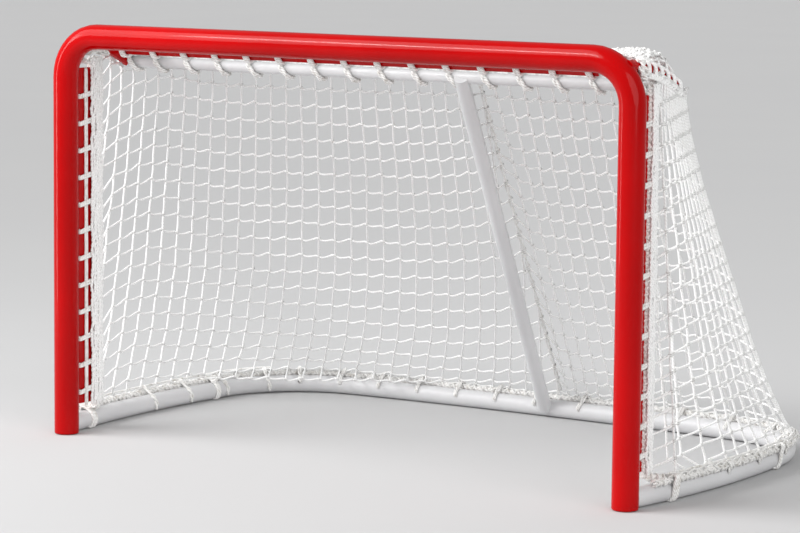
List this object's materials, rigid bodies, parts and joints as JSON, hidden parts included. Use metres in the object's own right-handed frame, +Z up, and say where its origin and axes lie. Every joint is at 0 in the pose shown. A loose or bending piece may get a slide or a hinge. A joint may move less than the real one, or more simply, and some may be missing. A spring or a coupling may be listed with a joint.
{
  "type": "ice hockey goal",
  "caption": "Welded tube ice hockey goal: bent red posts and crossbar, white floor tube, rear top bar and slanted strut, with a cord net laced on all round.",
  "frame": {"origin": "on the floor, under the middle of the whole goal's width and depth", "axes": "+X along the crossbar, to the right as seen from in front of the mouth; the mouth faces -Y and the net runs back towards +Y; +Z up"},
  "size_m": [2.0672, 1.2034, 1.213],
  "materials": {
    "red_paint": "gloss",
    "white_paint": "satin",
    "net_cord": "matt",
    "border_rope": "matt"
  },
  "bodies": {
    "root": {"front_frame": "red_paint", "post_foot_left": "red_paint", "post_foot_right": "red_paint", "top_arm_left": "red_paint", "top_arm_right": "red_paint", "lacing_strip_left": "red_paint", "lacing_strip_right": "red_paint", "lacing_strip_top": "red_paint", "base_frame": "white_paint", "rear_top_bar": "white_paint", "centre_strut": "white_paint", "net_left": "net_cord", "net_right": "net_cord", "net_back_left": "net_cord", "net_back_right": "net_cord", "net_top": "net_cord", "net_seam": "net_cord", "lace_left": "net_cord", "lace_right": "net_cord", "lace_top": "net_cord", "lace_rear_bar": "net_cord", "lace_base_left": "net_cord", "lace_base_right": "net_cord", "foot_tie_left": "net_cord", "foot_tie_right": "net_cord", "corner_tie_left": "net_cord", "corner_tie_right": "net_cord", "border_rope_base": "border_rope", "border_rope_left": "border_rope", "border_rope_right": "border_rope", "border_rope_top": "border_rope"}
  },
  "joints": []
}
